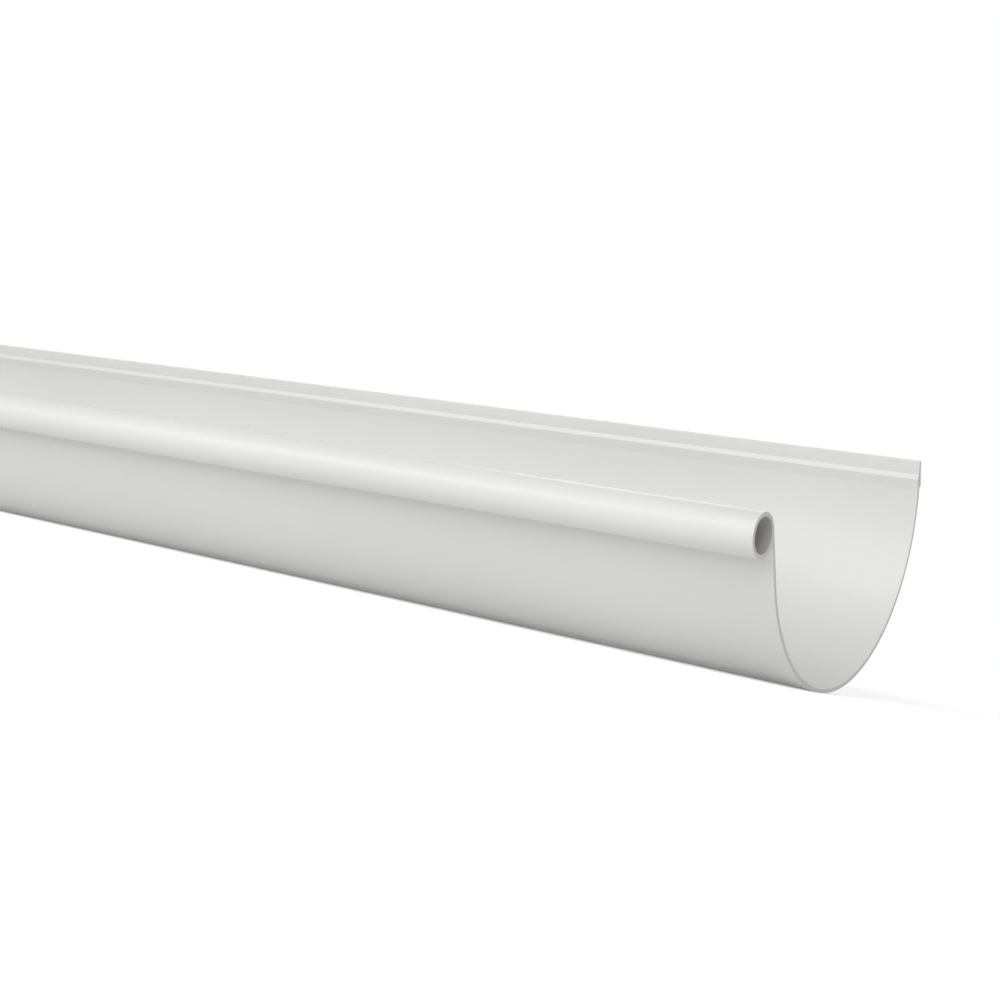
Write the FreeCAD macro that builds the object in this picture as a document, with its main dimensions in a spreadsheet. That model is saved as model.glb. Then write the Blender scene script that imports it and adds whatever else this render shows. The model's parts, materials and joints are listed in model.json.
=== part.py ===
"""Half-round rain gutter: one extruded length of rigid PVC with a hollow front bead.

The section is drawn in the YZ plane as the gutter hangs, with the centre of its half-round
trough at the sketch's origin, the front towards -Y and the back towards +Y. The front wall
leaves the half-round on its tangent and flares out to the bead. The section is padded along
X to the sold length, and the finished piece is then laid on a level floor as it comes to
rest by itself: on its round bottom, rolled towards the heavier bead.
"""
import FreeCAD, Part
import math
import os
import Sketcher

MM = FreeCAD.Vector

# Driving dimensions in millimetres: alias, value, what it is.
SIZES = (
    ("length", 2000.0, "length of one sold piece"),
    ("trough_radius", 62.5, "inside radius of the half-round trough"),
    ("wall", 1.5, "thickness of the trough wall"),
    ("flare_start", 9.8, "depth below the trough's centre where the front wall runs straight"),
    ("bead_radius", 7.75, "outside radius of the front bead"),
    ("bead_wall", 1.5, "thickness of the bead's tube"),
    ("bead_rise", 8.75, "height of the bead's centre above the trough's centre"),
    ("rim_rise", 9.7, "height of the back rim's top above the trough's centre"),
    ("rim_thickness", 1.3, "thickness of the back rim at its top"),
    ("strip_height", 5.5, "height of the flat strip above the ridge"),
    ("ridge_drop", 1.8, "drop of the sloping ledge from the strip to the ridge"),
    ("ridge_depth", 0.6, "how far the ridge stands in from the trough's wall"),
    ("ridge_foot", 1.9, "depth of the ridge's foot below the trough's centre"),
    ("barb_reach", 1.3, "how far the outer barb stands out from the wall"),
    ("barb_drop", 0.8, "depth of the barb's underside below the trough's centre"),
    ("rim_round", 0.4, "rounding of the rim's top and of the barb's tip"),
    ("ridge_round", 0.7, "rounding of the ridge and of the corner above it"),
    ("foot_round", 3.0, "hollow rounding between the ridge and the wall"),
    ("notch_round", 0.5, "rounding between the bead and the wall below it"),
)


def make_sheet(doc):
    """Write every driving dimension into one spreadsheet, each with its alias."""
    sheet = doc.addObject("Spreadsheet::Sheet", "Sizes")
    for row, (alias, value, meaning) in enumerate(SIZES, start=1):
        sheet.set(f"A{row}", alias)
        sheet.set(f"B{row}", str(value))
        sheet.set(f"C{row}", meaning)
        sheet.setAlias(f"B{row}", alias)
    doc.recompute()
    return sheet


def origin_plane(body, role):
    """Return the body's own origin plane that has this role."""
    return next(item for item in body.Origin.OriginFeatures if item.Role == role)


class Section:
    """Corner points of the gutter's section, in the sketch's own Y and Z."""

    def __init__(self, sheet):
        outer = sheet.trough_radius + sheet.wall
        back_y = math.sqrt(outer ** 2 - sheet.barb_drop ** 2)
        strip_y = back_y - sheet.rim_thickness
        strip_foot_z = sheet.rim_rise - sheet.strip_height
        foot_y = math.sqrt(sheet.trough_radius ** 2 - sheet.ridge_foot ** 2)
        self.centre = MM(0, 0, 0)
        self.back_outer = MM(back_y, -sheet.barb_drop, 0)
        self.barb_tip = MM(back_y + sheet.barb_reach, -sheet.barb_drop, 0)
        self.rim_outer = MM(back_y, sheet.rim_rise, 0)
        self.rim_inner = MM(strip_y, sheet.rim_rise, 0)
        self.strip_foot = MM(strip_y, strip_foot_z, 0)
        self.ridge = MM(sheet.trough_radius - sheet.ridge_depth, strip_foot_z - sheet.ridge_drop, 0)
        self.ridge_foot = MM(foot_y, -sheet.ridge_foot, 0)

        lean = math.asin(sheet.flare_start / sheet.trough_radius)
        outward = MM(-math.cos(lean), -math.sin(lean), 0)
        upward = MM(-math.sin(lean), math.cos(lean), 0)
        self.front_inner = outward * sheet.trough_radius
        self.front_outer = outward * outer
        climb = sheet.bead_rise - self.front_inner.y - sheet.bead_radius * outward.y
        run = climb / upward.y
        notch_drop = math.sqrt(sheet.bead_radius ** 2 - (sheet.bead_radius - sheet.wall) ** 2)
        self.bead_side = self.front_inner + upward * run
        self.bead_centre = self.bead_side + outward * sheet.bead_radius
        self.notch = self.front_outer + upward * (run - notch_drop)


def arc_between(centre, radius, start, end):
    """Return the arc about centre that runs anticlockwise from start to end."""
    circle = Part.Circle(centre, MM(0, 0, 1), radius)
    first = math.atan2(start.y - centre.y, start.x - centre.x)
    last = math.atan2(end.y - centre.y, end.x - centre.x)
    if last <= first:
        last += 2 * math.pi
    return Part.ArcOfCircle(circle, first, last)


def draw_section(body, sheet):
    """Draw the closed section and bind its sizes to the sheet."""
    sketch = body.newObject("Sketcher::SketchObject", "GutterSection")
    sketch.AttachmentSupport = [(origin_plane(body, "YZ_Plane"), "")]
    sketch.MapMode = "FlatFace"
    point = Section(sheet)
    outer = sheet.trough_radius + sheet.wall
    bore = sheet.bead_radius - sheet.bead_wall
    line = Part.LineSegment

    trough_out = sketch.addGeometry(
        arc_between(point.centre, outer, point.front_outer, point.back_outer))
    barb_foot = sketch.addGeometry(line(point.back_outer, point.barb_tip))
    barb_face = sketch.addGeometry(line(point.barb_tip, point.rim_outer))
    rim_top = sketch.addGeometry(line(point.rim_outer, point.rim_inner))
    strip = sketch.addGeometry(line(point.rim_inner, point.strip_foot))
    ledge = sketch.addGeometry(line(point.strip_foot, point.ridge))
    undercut = sketch.addGeometry(line(point.ridge, point.ridge_foot))
    trough_in = sketch.addGeometry(
        arc_between(point.centre, sheet.trough_radius, point.front_inner, point.ridge_foot))
    front_in = sketch.addGeometry(line(point.front_inner, point.bead_side))
    bead = sketch.addGeometry(
        arc_between(point.bead_centre, sheet.bead_radius, point.bead_side, point.notch))
    front_out = sketch.addGeometry(line(point.notch, point.front_outer))
    bead_bore = sketch.addGeometry(Part.Circle(point.bead_centre, MM(0, 0, 1), bore))

    start, end, middle = 1, 2, 3
    origin = -1

    def join(first, first_end, second, second_end):
        sketch.addConstraint(Sketcher.Constraint("Coincident", first, first_end, second, second_end))

    def size(kind, expression, *where):
        index = sketch.addConstraint(Sketcher.Constraint(kind, *where))
        sketch.setExpression(f"Constraints[{index}]", expression)

    join(trough_out, middle, origin, start)
    join(trough_in, middle, origin, start)
    join(trough_out, end, barb_foot, start)
    join(barb_foot, end, barb_face, start)
    join(barb_face, end, rim_top, start)
    join(rim_top, end, strip, start)
    join(strip, end, ledge, start)
    join(ledge, end, undercut, start)
    join(undercut, end, trough_in, end)
    join(bead, end, front_out, start)
    join(bead_bore, middle, bead, middle)
    for tangent in ((trough_in, start, front_in, start), (front_in, end, bead, start),
                    (front_out, end, trough_out, start)):
        sketch.addConstraint(Sketcher.Constraint("Tangent", *tangent))
    sketch.addConstraint(Sketcher.Constraint("Parallel", front_in, front_out))
    for level in (barb_foot, rim_top):
        sketch.addConstraint(Sketcher.Constraint("Horizontal", level))
    sketch.addConstraint(Sketcher.Constraint("Vertical", strip))
    sketch.addConstraint(Sketcher.Constraint("Vertical", trough_out, end, rim_top, start))

    size("Radius", "Sizes.trough_radius + Sizes.wall", trough_out, outer)
    size("Radius", "Sizes.trough_radius", trough_in, sheet.trough_radius)
    size("DistanceY", "Sizes.flare_start", trough_in, start, origin, start, sheet.flare_start)
    size("Radius", "Sizes.bead_radius", bead, sheet.bead_radius)
    size("Radius", "Sizes.bead_radius - Sizes.bead_wall", bead_bore, bore)
    size("DistanceY", "Sizes.bead_rise", origin, start, bead, middle, sheet.bead_rise)
    size("DistanceX", "Sizes.barb_reach", barb_foot, start, barb_foot, end, sheet.barb_reach)
    size("DistanceY", "Sizes.barb_drop", barb_foot, start, origin, start, sheet.barb_drop)
    size("DistanceY", "Sizes.rim_rise", origin, start, rim_top, start, sheet.rim_rise)
    size("DistanceX", "Sizes.rim_thickness", rim_top, end, rim_top, start, sheet.rim_thickness)
    size("DistanceY", "Sizes.strip_height", strip, end, strip, start, sheet.strip_height)
    size("DistanceY", "Sizes.ridge_drop", ledge, end, ledge, start, sheet.ridge_drop)
    size("DistanceX", "Sizes.trough_radius - Sizes.ridge_depth",
         origin, start, ledge, end, point.ridge.x)
    size("DistanceY", "Sizes.ridge_foot", undercut, end, origin, start, sheet.ridge_foot)
    return sketch


def edges_along(shape, corners):
    """Name the straight edges along X that pass through these corners of the section."""
    reach = 0.01
    names = []
    for number, edge in enumerate(shape.Edges, start=1):
        first = edge.Vertexes[0].Point
        last = edge.Vertexes[-1].Point
        if abs(first.y - last.y) + abs(first.z - last.z) > reach or abs(first.x - last.x) < reach:
            continue
        if any(math.hypot(first.y - corner.x, first.z - corner.y) < reach for corner in corners):
            names.append(f"Edge{number}")
    return names


def round_edges(body, base, name, alias, corners):
    """Round the long edges at these corners by the radius of this alias."""
    names = edges_along(base.Shape, corners)
    if len(names) != len(corners):
        raise RuntimeError(f"{name}: {len(names)} edges found at {len(corners)} corners")
    feature = body.newObject("PartDesign::Fillet", name)
    feature.Base = (base, names)
    feature.setExpression("Radius", f"Sizes.{alias}")
    body.Document.recompute()
    return feature


def lay_to_rest(body, sheet):
    """Lay the piece on the floor with its centre of mass under its round bottom's centre."""
    balance = body.Shape.Solids[0].CenterOfMass
    roll = math.degrees(math.atan2(-balance.y, -balance.z))
    body.Placement = FreeCAD.Placement(MM(0, 0, 0), FreeCAD.Rotation(MM(1, 0, 0), roll))
    body.Document.recompute()
    box = body.Shape.optimalBoundingBox(False, False)
    middle = (box.YMin + box.YMax) / 2
    floor = -(sheet.trough_radius + sheet.wall)
    body.Placement.Base = MM(0, -middle, -floor)
    body.Document.recompute()
    return roll


def make_gutter(doc, sheet):
    """Make the gutter: padded section, small extrusion roundings, laid on the floor."""
    body = doc.addObject("PartDesign::Body", "Gutter")
    body.Label = "gutter"
    sketch = draw_section(body, sheet)
    pad = body.newObject("PartDesign::Pad", "GutterLength")
    pad.Profile = sketch
    pad.setExpression("Length", "Sizes.length")
    pad.Midplane = True
    doc.recompute()
    point = Section(sheet)
    base = round_edges(body, pad, "RimRound", "rim_round",
                       (point.rim_outer, point.rim_inner, point.barb_tip, point.back_outer))
    base = round_edges(body, base, "RidgeRound", "ridge_round", (point.ridge, point.strip_foot))
    base = round_edges(body, base, "FootRound", "foot_round", (point.ridge_foot,))
    round_edges(body, base, "NotchRound", "notch_round", (point.notch,))
    roll = lay_to_rest(body, sheet)
    print(f"gutter rolled by {roll:.2f} degrees, volume {body.Shape.Volume / 1000:.1f} cm3")
    return body


def check(doc, bodies):
    """Stop before anything is written if any object failed or any shape is bad."""
    for item in doc.Objects:
        if "Invalid" in item.State or "Error" in item.State:
            raise RuntimeError(f"{item.Name} failed: {item.State}")
    for body in bodies:
        if body.Shape.isNull() or not body.Shape.isValid():
            raise RuntimeError(f"{body.Label} has no valid shape")


doc = FreeCAD.newDocument("gutter_length")
sheet = make_sheet(doc)
bodies = [make_gutter(doc, sheet)]
doc.recompute()
check(doc, bodies)
os.makedirs("parts", exist_ok=True)
for body in bodies:
    body.Shape.exportStep(f"parts/{body.Label}.step")
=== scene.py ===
"""Dresses one length of half-round rain gutter: finish, floor, soft light and camera."""
from __future__ import annotations

import json
import logging
import math
from dataclasses import dataclass, field
from enum import Enum

import bmesh
import bpy
from mathutils import Matrix, Vector


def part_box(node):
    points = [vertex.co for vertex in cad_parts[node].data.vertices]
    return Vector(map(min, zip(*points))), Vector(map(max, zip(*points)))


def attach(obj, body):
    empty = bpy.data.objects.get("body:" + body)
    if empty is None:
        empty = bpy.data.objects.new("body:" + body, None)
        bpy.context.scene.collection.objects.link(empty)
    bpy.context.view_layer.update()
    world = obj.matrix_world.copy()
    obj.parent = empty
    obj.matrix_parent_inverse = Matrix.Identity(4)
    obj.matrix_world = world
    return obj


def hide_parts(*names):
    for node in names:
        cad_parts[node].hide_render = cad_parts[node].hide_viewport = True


LOG = logging.getLogger("gutter")
MM = 0.001
# Points nearer to each other than this are one point.
WELD = 0.001 * MM
# A face is part of a cut end when its normal's share along X is over this.
END_FACING = 0.5

Point = tuple[float, float]
Loop = list[Point]
Triple = tuple[float, float, float]
Colour = Triple


# ---------------------------------------------------------------- section

@dataclass(frozen=True)
class SectionSizes:
    """Sizes of the gutter's section in metres, as the gutter hangs."""

    trough_radius: float = 62.5 * MM
    wall: float = 1.5 * MM
    flare_start: float = 9.8 * MM
    bead_radius: float = 7.75 * MM
    bead_wall: float = 1.5 * MM
    bead_rise: float = 8.75 * MM
    rim_rise: float = 9.7 * MM
    rim_thickness: float = 1.3 * MM
    strip_height: float = 5.5 * MM
    ridge_drop: float = 1.8 * MM
    ridge_depth: float = 0.6 * MM
    ridge_foot: float = 1.9 * MM
    barb_reach: float = 1.3 * MM
    barb_drop: float = 0.8 * MM
    rim_round: float = 0.4 * MM
    ridge_round: float = 0.7 * MM
    foot_round: float = 3.0 * MM
    notch_round: float = 0.5 * MM

    @property
    def outer_radius(self) -> float:
        """Outside radius of the trough."""
        return self.trough_radius + self.wall

    @property
    def lean(self) -> float:
        """Angle in radians by which the front wall leans out from the upright."""
        return math.asin(self.flare_start / self.trough_radius)

    @property
    def front_run(self) -> float:
        """Length of the front wall's straight part, up to beside the bead's centre."""
        reach = self.trough_radius + self.bead_radius
        return (self.bead_rise + reach * math.sin(self.lean)) / math.cos(self.lean)

    @property
    def bead_centre(self) -> Point:
        """Centre of the bead, from the trough's centre."""
        return self.on_front(self.trough_radius + self.bead_radius, self.front_run)

    def on_front(self, out: float, up: float) -> Point:
        """Return a point given square to the leaning front wall.

        Args:
            out: its distance outwards from the trough's centre.
            up: its distance along the wall from where the wall leaves the half-round.

        Returns:
            The point in the section's own Y and Z.
        """
        cosine, sine = math.cos(self.lean), math.sin(self.lean)
        return -out * cosine - up * sine, up * cosine - out * sine


def arc_points(centre: Point, radius: float, first: float, last: float, steps: int) -> Loop:
    """Return points along an arc, both ends included.

    Args:
        centre: the arc's centre.
        radius: its radius in metres.
        first: angle of its start in radians.
        last: angle of its end in radians.
        steps: how many chords it has.

    Returns:
        The points in order from first to last.
    """
    turn = (last - first) / steps
    return [(centre[0] + radius * math.cos(first + turn * step),
             centre[1] + radius * math.sin(first + turn * step)) for step in range(steps + 1)]


def rounded_corner(before: Point, corner: Point, after: Point, radius: float, steps: int) -> Loop:
    """Return the arc that rounds one corner between two straight runs.

    Args:
        before: a point on the run that comes in.
        corner: the sharp corner.
        after: a point on the run that goes out.
        radius: the rounding's radius in metres.
        steps: how many chords it has.

    Returns:
        The arc's points, from the first run to the second.
    """
    tip = Vector(corner)
    inward = (Vector(before) - tip).normalized()
    outward = (Vector(after) - tip).normalized()
    half = inward.angle(outward) / 2
    centre = tip + (inward + outward).normalized() * (radius / math.sin(half))
    start = tip + inward * (radius / math.tan(half)) - centre
    sweep = start.angle_signed(tip + outward * (radius / math.tan(half)) - centre)
    first = math.atan2(start.y, start.x)
    return arc_points((centre.x, centre.y), radius, first, first - sweep, steps)


@dataclass(frozen=True)
class SectionOutline:
    """The section's outline: one outer loop and the bead's bore."""

    sizes: SectionSizes
    trough_steps: int = 120
    bead_steps: int = 60
    round_steps: int = 5

    def outer_loop(self) -> Loop:
        """Draw the outer loop, anticlockwise, starting at the front of the trough's outside.

        Returns:
            The loop's points, in order.
        """
        size = self.sizes
        front = size.lean - math.pi
        below_barb = -(size.barb_drop + size.rim_round) / size.outer_radius
        loop = arc_points((0, 0), size.outer_radius, front, below_barb, self.trough_steps)
        for corner in self.rim_corners():
            loop += corner
        below_ridge = math.atan2(loop[-1][1], loop[-1][0])
        loop += arc_points((0, 0), size.trough_radius, below_ridge, front, self.trough_steps)[1:]
        return loop + self.bead_outline()

    def rim_corners(self) -> list[Loop]:
        """Round the rim's corners, from under the barb over the top to the foot of the ridge.

        Returns:
            One arc for each corner, in order.
        """
        size = self.sizes
        back_y = math.sqrt(size.outer_radius ** 2 - size.barb_drop ** 2)
        strip_y = back_y - size.rim_thickness
        strip_foot_z = size.rim_rise - size.strip_height
        foot_angle = -math.asin(size.ridge_foot / size.trough_radius)
        foot_y = size.trough_radius * math.cos(foot_angle)
        path = (
            (back_y, -size.barb_drop - size.rim_round),
            (back_y, -size.barb_drop),
            (back_y + size.barb_reach, -size.barb_drop),
            (back_y, size.rim_rise),
            (strip_y, size.rim_rise),
            (strip_y, strip_foot_z),
            (size.trough_radius - size.ridge_depth, strip_foot_z - size.ridge_drop),
            (foot_y, -size.ridge_foot),
            (foot_y + size.foot_round * math.sin(foot_angle),
             -size.ridge_foot - size.foot_round * math.cos(foot_angle)),
        )
        radii = (size.rim_round,) * 4 + (size.ridge_round,) * 2 + (size.foot_round,)
        return [rounded_corner(*runs, radius, self.round_steps)
                for runs, radius in zip(zip(path, path[1:], path[2:]), radii)]

    def bead_outline(self) -> Loop:
        """Draw the bead's outside and the rounded notch under it, back to the wall.

        Returns:
            The points of both arcs, in order.
        """
        size = self.sizes
        middle = size.bead_centre
        reach = size.bead_radius + size.notch_round
        inset = size.bead_radius - size.wall - size.notch_round
        drop = math.sqrt(reach ** 2 - inset ** 2)
        notch = size.on_front(size.outer_radius + size.notch_round, size.front_run - drop)
        towards = math.atan2(notch[1] - middle[1], notch[0] - middle[0])
        around = arc_points(middle, size.bead_radius, size.lean, towards + 2 * math.pi,
                            self.bead_steps)
        under = arc_points(notch, size.notch_round, towards + math.pi, size.lean,
                           self.round_steps)
        return around + under[1:]

    def bore_loop(self) -> Loop:
        """Return the bore's loop, clockwise."""
        radius = self.sizes.bead_radius - self.sizes.bead_wall
        return arc_points(self.sizes.bead_centre, radius, 2 * math.pi, 0.0, self.bead_steps)[1:]


@dataclass(frozen=True)
class RestPlace:
    """How the section lies in the frame: rolled about X and shifted in Y and Z."""

    roll: float
    centre_y: float
    centre_z: float

    @classmethod
    def from_record(cls, record: dict, sizes: SectionSizes) -> RestPlace:
        """Work the place out from the record's mounts and the section's own sizes.

        Args:
            record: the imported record.
            sizes: the section's sizes.

        Returns:
            The place of the trough's centre and the roll of the section.
        """
        mounts = {mount["name"]: mount["pos_m"] for mount in record["mounts"]}
        centre = Vector((mounts["end_face_near"][1], sizes.outer_radius))
        bead = Vector(mounts["front_bead"][1:]) - centre
        hung = Vector(sizes.bead_centre)
        roll = math.atan2(bead.y, bead.x) - math.atan2(hung.y, hung.x)
        return cls(roll % (2 * math.pi), centre.x, centre.y)

    def matrix(self) -> Matrix:
        """Return the transform from the hanging gutter's axes to the frame's."""
        shift = Matrix.Translation((0, self.centre_y, self.centre_z))
        return shift @ Matrix.Rotation(self.roll, 4, "X")


# ---------------------------------------------------------------- node helpers

class MathStep(Enum):
    """Operations that the Math nodes here use."""

    SUBTRACT = "SUBTRACT"
    MULTIPLY = "MULTIPLY"
    MULTIPLY_ADD = "MULTIPLY_ADD"
    MAXIMUM = "MAXIMUM"
    ABSOLUTE = "ABSOLUTE"
    GREATER_THAN = "GREATER_THAN"


def feed(tree: bpy.types.NodeTree, socket: bpy.types.NodeSocket, value: object) -> None:
    """Link an input to an output socket, or set it to a plain value.

    Args:
        tree: the tree that holds the node.
        socket: the input.
        value: an output socket, or a value of the input's kind.
    """
    if isinstance(value, bpy.types.NodeSocket):
        tree.links.new(value, socket)
    else:
        socket.default_value = value


def add_node(tree: bpy.types.NodeTree, kind: str, **inputs: object) -> bpy.types.Node:
    """Add a node and feed its inputs.

    Args:
        tree: the tree that gets the node.
        kind: the node's type.
        inputs: values or output sockets, by the input's name with underscores for spaces.

    Returns:
        The new node.
    """
    node = tree.nodes.new(kind)
    for name, value in inputs.items():
        feed(tree, node.inputs[name.replace("_", " ")], value)
    return node


def add_group(tree: bpy.types.NodeTree, group: bpy.types.NodeTree,
              **inputs: object) -> bpy.types.Node:
    """Place a shader group in a tree and feed its inputs.

    Args:
        tree: the tree that gets the group.
        group: the shared group.
        inputs: values or output sockets, by the input's name.

    Returns:
        The group's node.
    """
    node = tree.nodes.new("ShaderNodeGroup")
    node.node_tree = group
    for name, value in inputs.items():
        feed(tree, node.inputs[name], value)
    return node


def add_math(tree: bpy.types.NodeTree, step: MathStep, *values: object) -> bpy.types.NodeSocket:
    """Add a Math node and return its output.

    Args:
        tree: the tree that gets the node.
        step: what the node works out.
        values: numbers or sockets for its inputs, in order.

    Returns:
        The node's output socket.
    """
    node = tree.nodes.new("ShaderNodeMath")
    node.operation = step.value
    for socket, value in zip(node.inputs, values):
        feed(tree, socket, value)
    return node.outputs[0]


def add_join(tree: bpy.types.NodeTree, *parts: bpy.types.NodeSocket) -> bpy.types.NodeSocket:
    """Join several geometries and return the whole.

    Args:
        tree: the tree that gets the node.
        parts: the geometries' sockets.

    Returns:
        The joined geometry's socket.
    """
    node = tree.nodes.new("GeometryNodeJoinGeometry")
    for part in parts:
        tree.links.new(part, node.inputs["Geometry"])
    return node.outputs["Geometry"]


def new_group(name: str, kind: str, inputs: dict[str, str], outputs: dict[str, str],
              ) -> tuple[bpy.types.NodeTree, bpy.types.Node, bpy.types.Node]:
    """Start a node group with named sockets.

    Args:
        name: the group's name.
        kind: the tree's type.
        inputs: each input's kind, by its name.
        outputs: each output's kind, by its name.

    Returns:
        The tree, the node that gives its inputs and the node that takes its outputs.
    """
    tree = bpy.data.node_groups.new(name, kind)
    for way, sockets in (("INPUT", inputs), ("OUTPUT", outputs)):
        for label, socket_kind in sockets.items():
            tree.interface.new_socket(name=label, in_out=way,
                                      socket_type=f"NodeSocket{socket_kind}")
    return tree, tree.nodes.new("NodeGroupInput"), tree.nodes.new("NodeGroupOutput")


def seen_by_camera(tree: bpy.types.NodeTree) -> bpy.types.NodeSocket:
    """Add the test for rays that show a surface, straight, in gloss or through glass.

    Args:
        tree: the material's or the world's tree.

    Returns:
        A socket that is 1 on those rays, and 0 on diffuse and shadow rays.
    """
    path = tree.nodes.new("ShaderNodeLightPath").outputs
    straight = add_math(tree, MathStep.MAXIMUM, path["Is Camera Ray"], path["Is Glossy Ray"])
    return add_math(tree, MathStep.MAXIMUM, straight, path["Is Transmission Ray"])


# ---------------------------------------------------------------- shader groups

@dataclass(frozen=True)
class SurfaceNoise:
    """Noise over a surface: about how often it repeats in a metre on each axis, and its octaves."""

    repeats: Triple
    octaves: float = 2.0

    def build(self, tree: bpy.types.NodeTree) -> bpy.types.NodeSocket:
        """Add the noise on the piece's own coordinates.

        Args:
            tree: the tree that gets the nodes.

        Returns:
            The noise's value socket, from 0 to 1.
        """
        spot = tree.nodes.new("ShaderNodeTexCoord").outputs["Object"]
        stretched = add_node(tree, "ShaderNodeMapping", Vector=spot, Scale=self.repeats)
        noise = add_node(tree, "ShaderNodeTexNoise", Vector=stretched.outputs["Vector"],
                         Scale=1.0, Detail=self.octaves)
        return noise.outputs["Fac"]


@dataclass(frozen=True)
class Mottling:
    """Uneven colour and roughness: soft clouds with a fine grain over them."""

    clouds: SurfaceNoise = SurfaceNoise((9.0, 26.0, 26.0), 3.0)
    grain: SurfaceNoise = SurfaceNoise((900.0, 900.0, 900.0))
    cloud_share: float = 0.75
    roughness_swing: float = 0.12
    noise_middle: float = 0.5

    def build(self) -> bpy.types.ShaderNodeTree:
        """Build the group.

        Returns:
            A group with Colour, Variation and Roughness inputs, and Colour and Roughness outputs.
        """
        tree, given, result = new_group(
            "Plastic mottling", "ShaderNodeTree",
            {"Colour": "Color", "Variation": "Float", "Roughness": "Float"},
            {"Colour": "Color", "Roughness": "Float"})
        cloud = self.clouds.build(tree)
        both = add_math(tree, MathStep.MULTIPLY_ADD, self.grain.build(tree),
                        1.0 - self.cloud_share,
                        add_math(tree, MathStep.MULTIPLY, cloud, self.cloud_share))
        swing = add_math(tree, MathStep.SUBTRACT, both, self.noise_middle)
        shade = add_math(tree, MathStep.MULTIPLY_ADD, swing, given.outputs["Variation"], 1.0)
        tinted = tree.nodes.new("ShaderNodeVectorMath")
        tinted.operation = "SCALE"
        feed(tree, tinted.inputs["Vector"], given.outputs["Colour"])
        feed(tree, tinted.inputs["Scale"], shade)
        feed(tree, result.inputs["Colour"], tinted.outputs["Vector"])
        rougher = add_math(tree, MathStep.SUBTRACT, cloud, self.noise_middle)
        feed(tree, result.inputs["Roughness"],
             add_math(tree, MathStep.MULTIPLY_ADD, rougher, self.roughness_swing,
                      given.outputs["Roughness"]))
        return tree


@dataclass(frozen=True)
class DieLines:
    """The faint lines and waves that an extrusion die leaves along the piece."""

    lines: SurfaceNoise = SurfaceNoise((1.2, 1100.0, 1100.0))
    waves: SurfaceNoise = SurfaceNoise((3.0, 95.0, 95.0))

    def build(self) -> bpy.types.ShaderNodeTree:
        """Build the group.

        Returns:
            A group with Fine and Broad inputs, and one Height output.
        """
        tree, given, result = new_group("Die lines", "ShaderNodeTree",
                                        {"Fine": "Float", "Broad": "Float"},
                                        {"Height": "Float"})
        fine = add_math(tree, MathStep.MULTIPLY, self.lines.build(tree), given.outputs["Fine"])
        feed(tree, result.inputs["Height"],
             add_math(tree, MathStep.MULTIPLY_ADD, self.waves.build(tree),
                      given.outputs["Broad"], fine))
        return tree


# ---------------------------------------------------------------- finishes

@dataclass(frozen=True)
class PlasticFinish:
    """Rigid PVC with mottled colour and roughness. Finishes with relief add a bump to it."""

    name: str
    colour: Colour
    variation: float
    roughness: float
    bump: float = 0.0
    bump_depth: float = 0.0
    refractive_index: float = 1.53

    def relief(self, tree: bpy.types.NodeTree) -> bpy.types.NodeSocket | None:
        """Return no height, because a plain face has no relief."""
        return None

    def build(self, mottling: bpy.types.ShaderNodeTree) -> bpy.types.Material:
        """Build the material.

        Args:
            mottling: the shared group that varies colour and roughness.

        Returns:
            The material.
        """
        material = bpy.data.materials.new(self.name)
        material.use_nodes = True
        material.diffuse_color = (*self.colour, 1.0)
        tree = material.node_tree
        surface = tree.nodes["Principled BSDF"]
        surface.inputs["IOR"].default_value = self.refractive_index
        mottle = add_group(tree, mottling, Colour=(*self.colour, 1.0), Variation=self.variation,
                           Roughness=self.roughness)
        feed(tree, surface.inputs["Base Color"], mottle.outputs["Colour"])
        feed(tree, surface.inputs["Roughness"], mottle.outputs["Roughness"])
        height = self.relief(tree)
        if height is not None:
            bump = add_node(tree, "ShaderNodeBump", Strength=self.bump, Distance=self.bump_depth,
                            Height=height)
            feed(tree, surface.inputs["Normal"], bump.outputs["Normal"])
        return material


@dataclass(frozen=True)
class ExtrudedFinish(PlasticFinish):
    """Satin skin of the extruded plastic, as it leaves the die."""

    name: str = "extruded_pvc"
    colour: Colour = (0.836, 0.836, 0.810)
    variation: float = 0.09
    roughness: float = 0.36
    bump: float = 0.12
    bump_depth: float = 0.4 * MM
    fine_lines: float = 0.25
    broad_waves: float = 0.9

    def relief(self, tree: bpy.types.NodeTree) -> bpy.types.NodeSocket:
        """Place the die's lines in the material.

        Args:
            tree: the material's tree.

        Returns:
            The height of the lines and waves.
        """
        lines = add_group(tree, DieLines().build(), Fine=self.fine_lines,
                          Broad=self.broad_waves)
        return lines.outputs["Height"]


@dataclass(frozen=True)
class BoreFinishWithPaintedShade(PlasticFinish):
    """Inside of the bead, which no sizing sleeve presses smooth: duller than the skin. Its darker
    colour is painted shade of the bead's hollow.
    """

    name: str = "bore_pvc_painted_shade"
    # Darker than the skin: painted shade inside the bead's hollow, not the plastic's own colour.
    colour: Colour = (0.53, 0.52, 0.49)
    variation: float = 0.10
    roughness: float = 0.70


@dataclass(frozen=True)
class SawCutFinish(PlasticFinish):
    """Face that the saw leaves: rougher, with fine marks across the wall. Its colour is drawn a
    little greyer than the skin, which darkens the cut ends.
    """

    name: str = "saw_cut_pvc"
    # Drawn greyer than the skin, so the cut ends render darker.
    colour: Colour = (0.68, 0.68, 0.665)
    variation: float = 0.16
    roughness: float = 0.50
    bump: float = 0.5
    bump_depth: float = 0.1 * MM
    marks: SurfaceNoise = SurfaceNoise((200.0, 350.0, 3200.0))

    def relief(self, tree: bpy.types.NodeTree) -> bpy.types.NodeSocket:
        """Return the height of the saw's marks."""
        return self.marks.build(tree)


# ---------------------------------------------------------------- gutter

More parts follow.
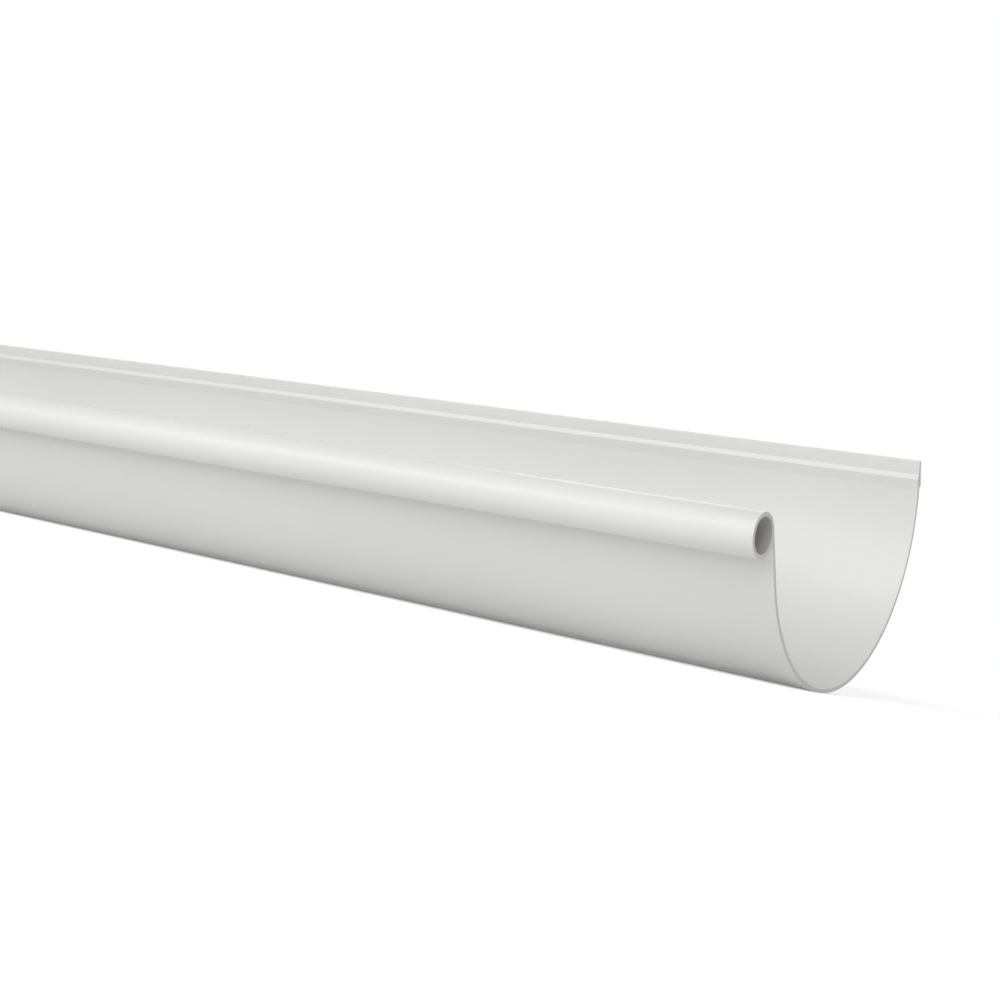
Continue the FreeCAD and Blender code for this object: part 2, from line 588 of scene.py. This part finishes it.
def end_faces(tree: bpy.types.NodeTree, outline: bpy.types.NodeSocket,
              near_spot: bpy.types.NodeSocket, far_spot: bpy.types.NodeSocket,
              ) -> tuple[bpy.types.NodeSocket, bpy.types.NodeSocket]:
    """Fill the outline once for each cut end, both facing outwards.

    Args:
        tree: the tree that gets the nodes.
        outline: the section's curves.
        near_spot: where the near end is.
        far_spot: where the far end is.

    Returns:
        The near face and the far face.
    """
    face = add_node(tree, "GeometryNodeFillCurve", Curve=outline).outputs["Mesh"]
    near = add_node(tree, "GeometryNodeTransform", Geometry=face, Translation=near_spot)
    turned = add_node(tree, "GeometryNodeFlipFaces", Mesh=face)
    far = add_node(tree, "GeometryNodeTransform", Geometry=turned.outputs["Mesh"],
                   Translation=far_spot)
    return near.outputs["Geometry"], far.outputs["Geometry"]


def dress_faces(tree: bpy.types.NodeTree, geometry: bpy.types.NodeSocket,
                skin: bpy.types.NodeSocket, cut: bpy.types.NodeSocket) -> bpy.types.NodeSocket:
    """Give every face the skin, and then the faces of the two ends the cut finish.

    Args:
        tree: the tree that gets the nodes.
        geometry: the laid gutter.
        skin: material of the extruded faces.
        cut: material of the two ends.

    Returns:
        The dressed geometry.
    """
    whole = add_node(tree, "GeometryNodeSetMaterial", Geometry=geometry, Material=skin)
    normal = tree.nodes.new("GeometryNodeInputNormal").outputs["Normal"]
    along = add_node(tree, "ShaderNodeSeparateXYZ", Vector=normal).outputs["X"]
    at_end = add_math(tree, MathStep.GREATER_THAN, add_math(tree, MathStep.ABSOLUTE, along),
                      END_FACING)
    ends = add_node(tree, "GeometryNodeSetMaterial", Geometry=whole.outputs["Geometry"],
                    Selection=at_end, Material=cut)
    return ends.outputs["Geometry"]


def extrusion_tree() -> bpy.types.GeometryNodeTree:
    """Build the tree that extrudes a flat outline along X and closes both cut ends.

    Returns:
        A tree with Outline, Length, Divisions, Skin and Cut inputs.
    """
    tree, given, result = new_group(
        "Extruded outline", "GeometryNodeTree",
        {"Outline": "Geometry", "Length": "Float", "Divisions": "Int", "Skin": "Material",
         "Cut": "Material"},
        {"Gutter": "Geometry"})
    inputs = given.outputs
    half = add_math(tree, MathStep.MULTIPLY, inputs["Length"], 0.5)
    back = add_math(tree, MathStep.MULTIPLY, inputs["Length"], -0.5)
    near_spot = add_node(tree, "ShaderNodeCombineXYZ", Z=half).outputs["Vector"]
    far_spot = add_node(tree, "ShaderNodeCombineXYZ", Z=back).outputs["Vector"]
    outline = add_node(tree, "GeometryNodeMeshToCurve", Mesh=inputs["Outline"]).outputs["Curve"]
    run = add_node(tree, "GeometryNodeCurvePrimitiveLine", Start=far_spot, End=near_spot)
    path = add_node(tree, "GeometryNodeResampleCurve", Curve=run.outputs["Curve"],
                    Count=inputs["Divisions"])
    walls = add_node(tree, "GeometryNodeCurveToMesh", Curve=path.outputs["Curve"],
                     Profile_Curve=outline)
    closed = add_join(tree, walls.outputs["Mesh"],
                      *end_faces(tree, outline, near_spot, far_spot))
    welded = add_node(tree, "GeometryNodeMergeByDistance", Geometry=closed, Distance=WELD)
    quarter = math.pi / 2
    laid = add_node(tree, "GeometryNodeTransform", Geometry=welded.outputs["Geometry"],
                    Rotation=(quarter, 0.0, quarter))
    real = add_node(tree, "GeometryNodeRealizeInstances", Geometry=laid.outputs["Geometry"])
    feed(tree, result.inputs["Gutter"],
         dress_faces(tree, real.outputs["Geometry"], inputs["Skin"], inputs["Cut"]))
    return tree


@dataclass
class GutterLength:
    """The one extruded piece, from its cut near end to its cut far end."""

    node: str = "gutter"
    piece_name: str = "gutter_length"
    sizes: SectionSizes = field(default_factory=SectionSizes)
    skin: ExtrudedFinish = field(default_factory=ExtrudedFinish)
    cut: SawCutFinish = field(default_factory=SawCutFinish)
    # The bore's material is drawn darker as painted shade of the bead's hollow.
    bore: BoreFinishWithPaintedShade = field(default_factory=BoreFinishWithPaintedShade)
    divisions: int = 41
    arris: float = 0.12 * MM
    arris_steps: int = 2
    cut_edge: float = math.radians(60)
    crease: float = math.radians(35)

    def outline_object(self, place: RestPlace) -> bpy.types.Object:
        """Draw the section's two loops as edges in the XY plane, in the frame's Y and Z.

        Args:
            place: how the section lies in the frame.

        Returns:
            An object whose mesh is the two loops.
        """
        outline = SectionOutline(self.sizes)
        laid = place.matrix()
        points: list[Vector] = []
        edges: list[tuple[int, int]] = []
        for loop in (outline.outer_loop(), outline.bore_loop()):
            spots = [(laid @ Vector((0.0, y, z))).yz.to_3d() for y, z in loop]
            kept = [spot for spot, after in zip(spots, spots[1:] + spots[:1])
                    if (after - spot).length > WELD]
            first, count = len(points), len(kept)
            points += kept
            edges += [(first + step, first + (step + 1) % count) for step in range(count)]
        mesh = bpy.data.meshes.new("gutter_outline")
        mesh.from_pydata(points, edges, [])
        holder = bpy.data.objects.new("gutter_outline", mesh)
        bpy.context.scene.collection.objects.link(holder)
        return holder

    def extruded_mesh(self, place: RestPlace, length: float, skin: bpy.types.Material,
                      cut: bpy.types.Material) -> bpy.types.Mesh:
        """Extrude the outline with the Geometry Nodes tree and return it as a plain mesh.

        Args:
            place: how the section lies in the frame.
            length: the gutter's length in metres.
            skin: material of the extruded faces.
            cut: material of the two ends.

        Returns:
            The closed mesh.
        """
        holder = self.outline_object(place)
        tree = extrusion_tree()
        modifier = holder.modifiers.new("Extrude", "NODES")
        modifier.node_group = tree
        values = {"Length": length, "Divisions": self.divisions, "Skin": skin, "Cut": cut}
        for item in tree.interface.items_tree:
            if item.name in values:
                modifier[item.identifier] = values[item.name]
        graph = bpy.context.evaluated_depsgraph_get()
        mesh = bpy.data.meshes.new_from_object(holder.evaluated_get(graph))
        holder.modifiers.remove(modifier)
        bpy.data.objects.remove(holder)
        return mesh

    def break_end_edges(self, mesh: bpy.types.Mesh) -> None:
        """Turn the faces outwards, break the sharp edges at the cuts and smooth the rest.

        Args:
            mesh: the closed mesh, changed in place.
        """
        shape = bmesh.new()
        shape.from_mesh(mesh)
        bmesh.ops.recalc_face_normals(shape, faces=shape.faces)
        ends = [edge for edge in shape.edges if edge.calc_face_angle(0.0) > self.cut_edge]
        bmesh.ops.bevel(shape, geom=ends, offset=self.arris, segments=self.arris_steps,
                        profile=0.5, affect="EDGES", clamp_overlap=True)
        shape.to_mesh(mesh)
        shape.free()
        mesh.shade_smooth()
        mesh.set_sharp_from_angle(angle=self.crease)

    def dress_bore(self, mesh: bpy.types.Mesh, place: RestPlace,
                   bore: bpy.types.Material) -> None:
        """Give the bead's inside its own finish, whose darker colour is painted shade.

        Args:
            mesh: the gutter's mesh, changed in place.
            place: how the section lies in the frame.
            bore: material of the bead's inside, with painted shade in its colour.
        """
        mesh.materials.append(bore)
        slot = len(mesh.materials) - 1
        middle = place.matrix() @ Vector((0.0, *self.sizes.bead_centre))
        reach = self.sizes.bead_radius - self.sizes.bead_wall / 2
        for face in mesh.polygons:
            away = (face.center - middle).yz
            if away.length < reach and abs(face.normal.x) < END_FACING:
                face.material_index = slot

    def build(self, place: RestPlace) -> bpy.types.Object:
        """Build the gutter, dress it and let it stand for its CAD node.

        Args:
            place: how the section lies in the frame.

        Returns:
            The finished piece.
        """
        low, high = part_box(self.node)
        mottling = Mottling().build()
        mesh = self.extruded_mesh(place, high[0] - low[0], self.skin.build(mottling),
                                  self.cut.build(mottling))
        self.break_end_edges(mesh)
        self.dress_bore(mesh, place, self.bore.build(mottling))
        mesh.name = self.piece_name
        piece = bpy.data.objects.new(self.piece_name, mesh)
        bpy.context.scene.collection.objects.link(piece)
        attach(piece, "root")
        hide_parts(self.node)
        LOG.info("%s: %d faces, rolled %.2f degrees", self.piece_name, len(mesh.polygons),
                 math.degrees(place.roll))
        return piece


# ---------------------------------------------------------------- studio

@dataclass(frozen=True)
class Viewpoint:
    """Camera, set out from the near end's trough centre in the hanging gutter's axes.

    Turn is its angle about the upright, dip is how far it looks down, and focal_share is its
    focal length as a share of the sensor's width.
    """

    place: RestPlace
    near_end: float
    spot: Triple = (0.2123, -0.5127, 0.1360)
    turn: float = math.radians(35.70)
    dip: float = math.radians(13.494)
    focal_share: float = 1.5533
    sensor_mm: float = 36.0
    nearest: float = 0.01
    farthest: float = 60.0

    def matrix(self) -> Matrix:
        """Return the camera's transform in the frame."""
        hung = (Matrix.Translation(self.spot) @ Matrix.Rotation(self.turn, 4, "Z")
                @ Matrix.Rotation(math.pi / 2 - self.dip, 4, "X"))
        return Matrix.Translation((self.near_end, 0, 0)) @ self.place.matrix() @ hung

    def build(self) -> bpy.types.Object:
        """Make the scene's camera.

        Returns:
            The camera's object.
        """
        data = bpy.data.cameras.new("camera")
        data.sensor_width = self.sensor_mm
        data.lens = self.focal_share * self.sensor_mm
        data.clip_start = self.nearest
        data.clip_end = self.farthest
        camera = bpy.data.objects.new("camera", data)
        camera.matrix_world = self.matrix()
        bpy.context.scene.collection.objects.link(camera)
        bpy.context.scene.camera = camera
        return camera


@dataclass(frozen=True)
class Softbox:
    """One softbox that faces a spot on the gutter's line.

    past_end is how far that spot lies past the near end. Bearing and elevation are in degrees,
    and the bearing turns from straight in front of the gutter towards the near end.
    """

    name: str
    past_end: float
    bearing: float
    elevation: float
    power: float
    distance: float = 2.2
    width: float = 1.1
    height: float = 1.1

    def direction(self) -> Vector:
        """Work out which way the softbox lies.

        Returns:
            The unit vector from the lit spot to the softbox.
        """
        bearing, elevation = math.radians(self.bearing), math.radians(self.elevation)
        level = math.cos(elevation)
        return Vector((math.sin(bearing) * level, -math.cos(bearing) * level,
                       math.sin(elevation)))

    def build(self, near_end: Vector) -> bpy.types.Object:
        """Hang the softbox and aim it.

        Args:
            near_end: the spot at the near end that past_end is counted from.

        Returns:
            The lamp's object.
        """
        data = bpy.data.lights.new(self.name, "AREA")
        data.shape = "RECTANGLE"
        data.size = self.width
        data.size_y = self.height
        data.energy = self.power
        away = self.direction()
        lamp = bpy.data.objects.new(self.name, data)
        lamp.location = near_end + Vector((self.past_end, 0, 0)) + away * self.distance
        lamp.rotation_euler = away.to_track_quat("Z", "Y").to_euler()
        bpy.context.scene.collection.objects.link(lamp)
        LOG.info("lamp %s", self.name)
        return lamp


@dataclass(frozen=True)
class Floor:
    """Pale matt floor, shown white where nothing shades it.

    The lift only shows to the camera and in reflections, and lights nothing. It is near_lift
    up to near_reach from the frame's origin, and grows to far_lift at far_reach.
    """

    width: float = 40.0
    colour: Colour = (0.920, 0.917, 0.935)
    near_lift: float = 0.47
    far_lift: float = 0.80
    near_reach: float = 1.5
    far_reach: float = 4.0

    def paint(self) -> bpy.types.Material:
        """Build the floor's paint.

        Returns:
            The material.
        """
        material = bpy.data.materials.new("floor_paint")
        material.use_nodes = True
        material.cycles.emission_sampling = "NONE"
        tree = material.node_tree
        tree.nodes.clear()
        matt = add_node(tree, "ShaderNodeBsdfDiffuse", Color=(*self.colour, 1.0))
        away = tree.nodes.new("ShaderNodeVectorMath")
        away.operation = "LENGTH"
        feed(tree, away.inputs["Vector"],
             tree.nodes.new("ShaderNodeTexCoord").outputs["Object"])
        lift_here = add_node(tree, "ShaderNodeMapRange", Value=away.outputs["Value"],
                             From_Min=self.near_reach, From_Max=self.far_reach,
                             To_Min=self.near_lift, To_Max=self.far_lift).outputs["Result"]
        level = add_math(tree, MathStep.MULTIPLY, seen_by_camera(tree), lift_here)
        lift = add_node(tree, "ShaderNodeEmission", Strength=level)
        both = tree.nodes.new("ShaderNodeAddShader")
        feed(tree, both.inputs[0], matt.outputs["BSDF"])
        feed(tree, both.inputs[1], lift.outputs["Emission"])
        add_node(tree, "ShaderNodeOutputMaterial", Surface=both.outputs["Shader"])
        return material

    def build(self) -> bpy.types.Object:
        """Lay the floor.

        Returns:
            The floor's object.
        """
        half = self.width / 2
        mesh = bpy.data.meshes.new("floor")
        mesh.from_pydata([(-half, -half, 0), (half, -half, 0), (half, half, 0), (-half, half, 0)],
                         [], [(0, 1, 2, 3)])
        mesh.materials.append(self.paint())
        floor = bpy.data.objects.new("floor", mesh)
        bpy.context.scene.collection.objects.link(floor)
        return floor


@dataclass(frozen=True)
class Surroundings:
    """White all round, which lights the scene at the ambient level only."""

    ambient: float = 0.38

    def build(self) -> bpy.types.World:
        """Build the world and make it the scene's.

        Returns:
            The world.
        """
        world = bpy.data.worlds.new("studio")
        world.use_nodes = True
        world.cycles.sampling_method = "NONE"
        tree = world.node_tree
        tree.nodes.clear()
        level = add_math(tree, MathStep.MULTIPLY_ADD, seen_by_camera(tree), 1.0 - self.ambient,
                         self.ambient)
        white = add_node(tree, "ShaderNodeBackground", Color=(1.0, 1.0, 1.0, 1.0),
                         Strength=level)
        add_node(tree, "ShaderNodeOutputWorld", Surface=white.outputs["Background"])
        bpy.context.scene.world = world
        return world


@dataclass(frozen=True)
class Studio:
    """Pale floor, white surroundings and soft lamps round the gutter's near end."""

    near_end: Vector
    floor: Floor = Floor()
    surroundings: Surroundings = Surroundings()
    softboxes: tuple[Softbox, ...] = (
        Softbox("left_softbox", past_end=-0.15, bearing=-40.0, elevation=18.0, power=7.4),
        Softbox("low_softbox", past_end=-0.15, bearing=0.0, elevation=9.0, power=7.4,
                width=2.4, height=0.6),
        Softbox("near_softbox", past_end=0.05, bearing=0.0, elevation=34.0, power=5.6,
                distance=1.4, height=0.8),
        Softbox("end_softbox", past_end=-0.15, bearing=90.0, elevation=18.0, power=0.9),
        Softbox("back_softbox", past_end=-0.60, bearing=180.0, elevation=35.0, power=9.0,
                distance=2.4, width=2.4),
    )

    def build(self) -> None:
        """Build the floor, the surroundings and the lamps."""
        self.floor.build()
        self.surroundings.build()
        for softbox in self.softboxes:
            softbox.build(self.near_end)
        bpy.context.scene.view_settings.view_transform = "Standard"


def main() -> None:
    """Build the gutter, the studio and the camera."""
    logging.basicConfig(level=logging.INFO, format="%(name)s: %(message)s")
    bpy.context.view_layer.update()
    gutter = GutterLength()
    place = RestPlace.from_record(frame["record"], gutter.sizes)
    gutter.build(place)
    near_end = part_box(gutter.node)[1][0]
    Studio(Vector((near_end, 0.0, place.centre_z))).build()
    Viewpoint(place, near_end).build()


with open("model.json") as file:
    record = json.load(file)
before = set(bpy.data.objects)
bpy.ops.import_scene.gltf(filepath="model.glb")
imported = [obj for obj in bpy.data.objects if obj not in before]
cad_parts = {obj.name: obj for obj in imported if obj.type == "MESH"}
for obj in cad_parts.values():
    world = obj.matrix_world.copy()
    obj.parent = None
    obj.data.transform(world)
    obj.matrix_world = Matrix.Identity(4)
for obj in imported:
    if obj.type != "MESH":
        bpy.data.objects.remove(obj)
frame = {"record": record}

if __name__ == "__main__":
    main()
